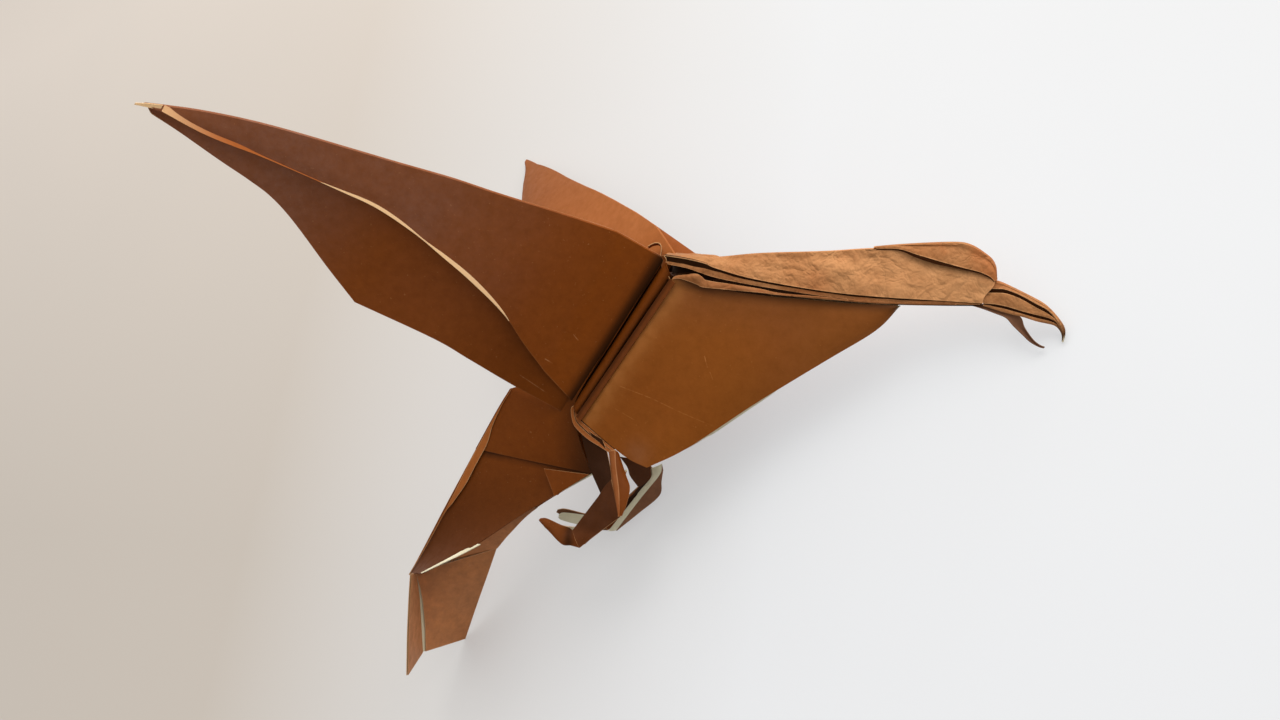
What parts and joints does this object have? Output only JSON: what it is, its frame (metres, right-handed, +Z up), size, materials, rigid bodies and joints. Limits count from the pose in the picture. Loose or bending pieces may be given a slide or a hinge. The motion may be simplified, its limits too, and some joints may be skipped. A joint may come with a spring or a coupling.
{
  "type": "origami eagle",
  "caption": "Folded paper eagle with raised wings, a crimped body, a layered neck, a hooked beak, two folded legs and a fanned tail.",
  "frame": {"origin": "bottom centre of the bounding box, on the surface that the eagle lies on", "axes": "+Z up from that surface, +X along the body towards the beak, +Y towards the tip of the left wing, which lies on the surface"},
  "size_m": [0.1828, 0.169, 0.1443],
  "materials": {
    "paper": "brown paper with a faint leathery mottle and soft sheen; the reverse side, seen in the open folds, is cream white"
  },
  "bodies": {
    "root": {"folded_sheet": "paper"}
  },
  "joints": []
}
